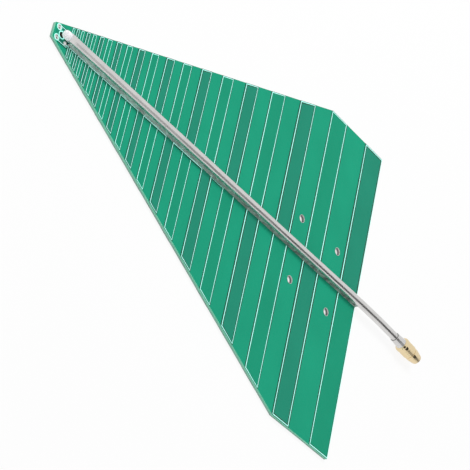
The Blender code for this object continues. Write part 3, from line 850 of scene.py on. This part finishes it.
class ANTENNA_OT_cable(bpy.types.Operator):
    """The rigid cable: tinned tube, white core with its swollen front and the bent conductor"""
    bl_idname = "antenna.cable"
    bl_label = "Cable"

    def execute(self, context):
        self.make_tube()
        self.make_core()
        self.make_conductor()
        return {"FINISHED"}

    def make_tube(self, steps=60):
        """A hollow tube along the board and out behind it."""
        cable = cable_finish()
        over_board = low_corner("board").x - high_corner("coax_shield").x
        behind = (low_corner("board").x - low_corner("coax_shield").x) / -jack_direction().x
        distances = [over_board * (1 - step / steps) for step in range(steps)]
        distances += [behind * step / steps for step in range(steps + 1)]
        path = [cable_point(distance) for distance in distances]
        metal = tin_material("tinned_metal", roughness=0.25, repeats=(60.0, 900.0, 900.0),
                             depth=0.012 * MM)[0]
        shape = sweep(path, cable_radius(), sides=64, capped=False)
        tube = new_piece("shield_tube", shape, metal, replaces=("coax_shield",))
        wall = tube.modifiers.new("wall", "SOLIDIFY")
        wall.thickness = cable.shield_wall
        wall.offset = -1.0
        edge = tube.modifiers.new("cut_edge", "BEVEL")
        edge.width = cable.shield_lip
        edge.segments = 2
        edge.limit_method = "ANGLE"
        edge.angle_limit = math.radians(60.0)

    def make_core(self, steps=12):
        """A round bulb ahead of the tube, with a neck that goes into it."""
        cable = cable_finish()
        mouth = high_corner("coax_shield").x
        bulb = cable.bulb_radius
        middle = mouth + cable.bulb_length - bulb
        profile = []
        for step in range(steps + 1):
            angle = math.pi / 2 * step / steps
            profile.append((middle + bulb * math.cos(angle), bulb * math.sin(angle)))
        waist = mouth + bulb / 3
        profile.append((waist, bulb))
        neck = bulb - cable.core_radius
        for step in range(1, steps // 2 + 1):
            share = step / (steps // 2)
            profile.append((waist + (mouth - waist) * share,
                            bulb - neck * (3 * share ** 2 - 2 * share ** 3)))
        profile += [(mouth - cable.core_depth, cable.core_radius), (mouth - cable.core_depth, 0.0)]
        core = lathe(profile)
        for vert in core.verts:
            if vert.co.x > mouth:
                vert.co.yz *= swell(vert.co, share=0.05, repeats=500.0)
        move(core, UP * cable_height())
        new_piece("white_core", core, white_core_material(), replaces=("coax_dielectric",))

    def make_conductor(self, steps=12):
        """From the underside up the feed hole, then round one bend into the white core."""
        cable = cable_finish()
        hole = high_corner("centre_conductor").x - cable.wire_radius
        height = cable_height()
        bend = cable.wire_bend
        path = [Vector((hole, 0.0, place))
                for place in (low_corner("bottom_copper").z, (height - bend) / 2)]
        for step in range(steps + 1):
            angle = math.pi / 2 * step / steps
            path.append(Vector((hole - bend * (1 - math.cos(angle)), 0.0,
                                height - bend * (1 - math.sin(angle)))))
        path.append(Vector((high_corner("coax_shield").x - cable.core_depth / 2, 0.0, height)))
        shape = sweep(path, cable.wire_radius, sides=32, capped=True)
        new_piece("bent_conductor", shape, conductor_material(),
                  replaces=("centre_conductor",))


class ANTENNA_OT_solder(bpy.types.Operator):
    """Solder seams on both sides of the cable, drawn up against the tube with an uneven foot"""
    bl_idname = "antenna.solder"
    bl_label = "Solder seams"

    def execute(self, context):
        metal = seam_material()
        for side, sign in (("left", 1), ("right", -1)):
            node = "solder_seam_" + side
            new_piece("seam_" + side, self.seam(node, sign), metal, smooth_angle=60.0,
                      replaces=(node,))
        return {"FINISHED"}

    def seam(self, node, sign, steps=420, across=8):
        """A hollow fillet section from the tube down to the strip, extruded and then made uneven."""
        cable = cable_finish()
        start, end = high_corner(node).x, low_corner(node).x
        base = high_corner("top_copper").z
        touch = cable.solder_touch
        top = Vector((cable_radius() * math.cos(touch), cable_height() + cable_radius() * math.sin(touch)))
        foot = Vector((cable.solder_half_width, base))
        middle = Vector((top.x + HOLLOW_SIDE * (foot.x - top.x),
                         base + (top.y - base) * HOLLOW_HEIGHT))
        shape = bmesh.new()
        verts = [shape.verts.new((start, sign * point.x, point.y))
                 for point in curve(top, middle, foot, across)]
        edges = [shape.edges.new(pair) for pair in zip(verts, verts[1:])]
        for step in range(steps):
            verts, edges = extrude(shape, edges)
            bmesh.ops.translate(shape, vec=((end - start) / steps, 0.0, 0.0), verts=verts)
        for vert in shape.verts:
            share = 1.0 - (vert.co.z - base) / (top.y - base)
            wave = noise.noise(Vector((vert.co.x * SLOW_WAVES, sign * SLOW_ROW, 0.0)))
            wave += FAST_WAVE_SHARE * noise.noise(Vector((vert.co.x * FAST_WAVES, sign * FAST_ROW, 1.0)))
            vert.co.y += sign * cable.solder_waviness * wave * share
        bmesh.ops.recalc_face_normals(shape, faces=shape.faces)
        return shape


class ANTENNA_OT_jack(bpy.types.Operator):
    """The soldered ferrule and the gold plated jack with its thread, insulator and contact"""
    bl_idname = "antenna.jack"
    bl_label = "Jack"

    def execute(self, context):
        start = jack_finish().ferrule_length
        gold = gold_material()
        tin = cast_tin_material("bright_ferrule", roughness=0.22)[0]
        self.turned("flared_ferrule", self.ferrule_section(), 0.0, tin, "tinned", "ferrule")
        self.turned("gold_body", self.body_section(), start, gold, "gold", "connector_body")
        self.turned("white_insulator", self.insulator_section(), start, white_core_material(), "ptfe",
                    "insulator")
        self.turned("sprung_contact", self.contact_section(), start, gold, "gold", "centre_contact")
        return {"FINISHED"}

    def turned(self, name, section, start, material, slot, node):
        hollow = section[0][1] > 0.0
        profile = rounded(section, jack_finish().edge) if hollow else section
        shape = lathe(profile, jack_finish().turn_steps)
        on_jack_axis(shape, start)
        new_piece(name, shape, material, replaces=(node,))

    def ferrule_section(self, steps=12):
        jack = jack_finish()
        bore = cable_radius() + jack.clearance
        lip = bore + jack.ferrule_lip
        section = [(0.0, bore)]
        for step in range(steps + 1):
            share = step / steps
            flare = (jack.ferrule_flare - lip) * share ** FLARE_POWER
            section.append((jack.ferrule_length * share, lip + flare))
        return section + [(jack.ferrule_length, bore)]

    def body_section(self):
        jack = jack_finish()
        groove = jack.collar_length + jack.barrel_length
        front = groove + jack.groove_length
        end = front + jack.front_length
        bore = cable_radius() + jack.clearance
        wide = jack.insulator_radius + jack.clearance
        ledge = jack.socket_depth + jack.clearance
        section = [(0.0, bore), (0.0, jack.collar_radius - jack.collar_chamfer),
                   (jack.collar_chamfer, jack.collar_radius), (jack.collar_length, jack.collar_radius),
                   (jack.collar_length, jack.barrel_radius)]
        section += self.thread(jack.collar_length, groove, jack.barrel_radius)
        section += [(groove, jack.barrel_radius), (groove, jack.groove_radius), (front, jack.groove_radius),
                    (front, jack.front_radius), (end - jack.taper_length, jack.front_radius),
                    (end, jack.tip_radius), (end, wide), (ledge, wide), (ledge, bore)]
        return section

    def thread(self, start, end, radius):
        """Crests and roots along the barrel, inside its outer radius."""
        pitch, depth = jack_finish().thread_pitch, jack_finish().thread_depth
        count = int((end - start) / pitch)
        margin = (end - start - count * pitch) / 2
        places = []
        for turn in range(count):
            root = start + margin + (turn + 0.5) * pitch
            places += [(root - CREST_SHARE * pitch, radius), (root, radius - depth),
                       (root + CREST_SHARE * pitch, radius)]
        return places

    def insulator_section(self):
        jack = jack_finish()
        start = jack.socket_depth + 2 * jack.clearance
        end = self.body_length() - jack.clearance
        bore = jack.contact_radius + jack.clearance
        return [(start, bore), (start, jack.insulator_radius), (end, jack.insulator_radius), (end, bore)]

    def contact_section(self):
        jack = jack_finish()
        start = jack.socket_depth + 2 * jack.clearance
        tip = self.body_length() - 2 * jack.clearance
        return [(start, 0.0), (start, jack.contact_radius), (tip, jack.contact_radius),
                (tip, jack.contact_bore), (tip - jack.contact_depth, jack.contact_bore),
                (tip - jack.contact_depth, 0.0)]

    def body_length(self):
        jack = jack_finish()
        return jack.collar_length + jack.barrel_length + jack.groove_length + jack.front_length


class ANTENNA_OT_studio(bpy.types.Operator):
    """Pale floor, soft lights, the room and the camera at the photograph's angle"""
    bl_idname = "antenna.studio"
    bl_label = "Studio"

    def execute(self, context):
        studio = context.scene.studio_settings
        self.make_floor(studio)
        self.make_room(context, studio)
        self.add_lamp("key_light", direction=Vector((0.15, -0.55, 0.82)), distance=1.3, size=(0.6, 0.5),
                      power=studio.key_power)
        self.add_card("card_beside", studio, place=Vector((-1.55, 0.56, 0.7)),
                      facing=Vector((0.0, 0.62, 0.78)), size=(2.2, 0.84))
        self.add_card("card_behind_camera", studio, place=Vector((1.1, 0.6, 0.69)),
                      facing=Vector((0.767, 0.42, 0.48)), size=(0.8, 0.8))
        self.make_camera(context, studio)
        context.scene.view_settings.view_transform = "Standard"
        return {"FINISHED"}

    def matt_plane(self, name, shape, material_name, tone):
        """Make a shape a matt plane that can glow white."""
        plane = add_object(name, shape)
        material, tree, shader = new_material(material_name, tone, roughness=0.9)
        set_input(shader, "Specular IOR Level", 0.0)
        set_input(shader, "Emission Color", WHITE)
        plane.data.materials.append(material)
        return plane, tree, shader

    def make_floor(self, studio):
        """A floor that lights the antenna plainly, and is seen white with faint shadows."""
        shape = bmesh.new()
        bmesh.ops.create_grid(shape, x_segments=1, y_segments=1, size=3.0)
        move(shape, -FLOOR_GAP * UP)
        plain = shaded(WHITE, FLOOR_TONE)
        floor, tree, shader = self.matt_plane("floor", shape, "pale_floor", plain)
        seen = add_node(tree, "ShaderNodeLightPath")
        direct = calculate(tree, "MAXIMUM", seen.outputs["Is Camera Ray"], seen.outputs["Is Glossy Ray"])
        tone = mix_colours(tree, direct, plain, shaded(WHITE, studio.floor_share))
        set_input(shader, "Base Color", tone)
        set_input(shader, "Emission Strength", calculate(tree, "MULTIPLY", direct, studio.floor_glow))

    def make_room(self, context, studio):
        """A white room: plain to the camera, dimmer as light and a little brighter in reflections."""
        world = bpy.data.worlds.new("studio_room")
        world.use_nodes = True
        context.scene.world = world
        tree = world.node_tree
        backing = tree.nodes["Background"]
        seen = add_node(tree, "ShaderNodeLightPath")
        camera = calculate(tree, "MULTIPLY", seen.outputs["Is Camera Ray"], 1.0 - studio.sky)
        brighter = studio.reflected_sky - studio.sky
        glossy = calculate(tree, "MULTIPLY", seen.outputs["Is Glossy Ray"], brighter)
        extra = calculate(tree, "ADD", camera, glossy)
        set_input(backing, "Strength", calculate(tree, "ADD", extra, studio.sky))
        set_input(backing, "Color", WHITE)

    def add_lamp(self, name, direction, distance, size, power):
        light = bpy.data.lights.new(name, "AREA")
        light.shape = "RECTANGLE"
        light.size, light.size_y = size
        light.energy = power
        lamp = bpy.data.objects.new(name, light)
        lamp.visible_glossy = False
        place = direction.normalized() * distance
        turn = place.to_track_quat("Z", "Y").to_matrix().to_4x4()
        lamp.matrix_world = Matrix.Translation(place) @ turn
        bpy.context.scene.collection.objects.link(lamp)

    def add_card(self, name, studio, place, facing, size):
        """A dark card that only shows in the metal, lighter where it reaches over the board."""
        shape = bmesh.new()
        bmesh.ops.create_grid(shape, x_segments=1, y_segments=1, size=0.5)
        turn = UP.rotation_difference(facing).to_matrix().to_4x4()
        bmesh.ops.scale(shape, vec=(*size, 1.0), verts=shape.verts)
        bmesh.ops.transform(shape, matrix=Matrix.Translation(place) @ turn, verts=shape.verts)
        card, tree, shader = self.matt_plane(name, shape, name, BLACK)
        reach = calculate(tree, "ABSOLUTE", place_along(tree, "X"))
        set_input(shader, "Emission Strength", ramp(tree, reach, CARD_LIGHT_REACH, CARD_DARK_REACH,
                                                    studio.card_light, studio.card_dark))
        for sight in ("camera", "diffuse", "shadow", "transmission"):
            setattr(card, "visible_" + sight, False)

    def make_camera(self, context, studio):
        """A long lens, placed from the nose and the top of the copper as the photograph shows them."""
        camera = bpy.data.cameras.new("camera")
        camera.lens = studio.lens
        camera.sensor_width = 36.0
        camera.clip_start = 0.01
        holder = bpy.data.objects.new("camera", camera)
        nose = high_corner("board").x
        top = high_corner("top_copper").z
        right = Vector((-0.57318, -0.18599, 0.79804))
        up = Vector((0.51062, -0.84276, 0.17033))
        back = Vector((0.64088, 0.50513, 0.57802))
        place = Vector((nose + 0.41262, 0.43407, top + 0.47812))
        turn = Matrix((right, up, back)).transposed().to_4x4()
        holder.matrix_world = Matrix.Translation(place) @ turn
        context.scene.collection.objects.link(holder)
        context.scene.camera = holder


class ANTENNA_PT_panel(bpy.types.Panel):
    """Lists the antenna's pieces and the studio"""
    bl_idname = "ANTENNA_PT_panel"
    bl_label = "Log periodic antenna"
    bl_space_type = "VIEW_3D"
    bl_region_type = "UI"
    bl_category = "Antenna"

    def draw(self, context):
        column = self.layout.column(align=True)
        for operator in OPERATORS:
            column.operator(operator.bl_idname)


OPERATORS = (ANTENNA_OT_board, ANTENNA_OT_mounts, ANTENNA_OT_nose, ANTENNA_OT_cable, ANTENNA_OT_solder,
             ANTENNA_OT_jack, ANTENNA_OT_studio)
SETTINGS = (("board_finish", BoardFinish), ("cable_finish", CableFinish), ("jack_finish", JackFinish),
            ("studio_settings", StudioSettings))


def register():
    for name, group in SETTINGS:
        bpy.utils.register_class(group)
        setattr(bpy.types.Scene, name, PointerProperty(type=group))
    for item in (*OPERATORS, ANTENNA_PT_panel):
        bpy.utils.register_class(item)


def unregister():
    for item in (ANTENNA_PT_panel, *reversed(OPERATORS)):
        bpy.utils.unregister_class(item)
    for name, group in reversed(SETTINGS):
        delattr(bpy.types.Scene, name)
        bpy.utils.unregister_class(group)


def main():
    register()
    bpy.ops.antenna.board()
    bpy.ops.antenna.mounts()
    bpy.ops.antenna.nose()
    bpy.ops.antenna.cable()
    bpy.ops.antenna.solder()
    bpy.ops.antenna.jack()
    bpy.ops.antenna.studio()


if __name__ == "__main__":
    main()
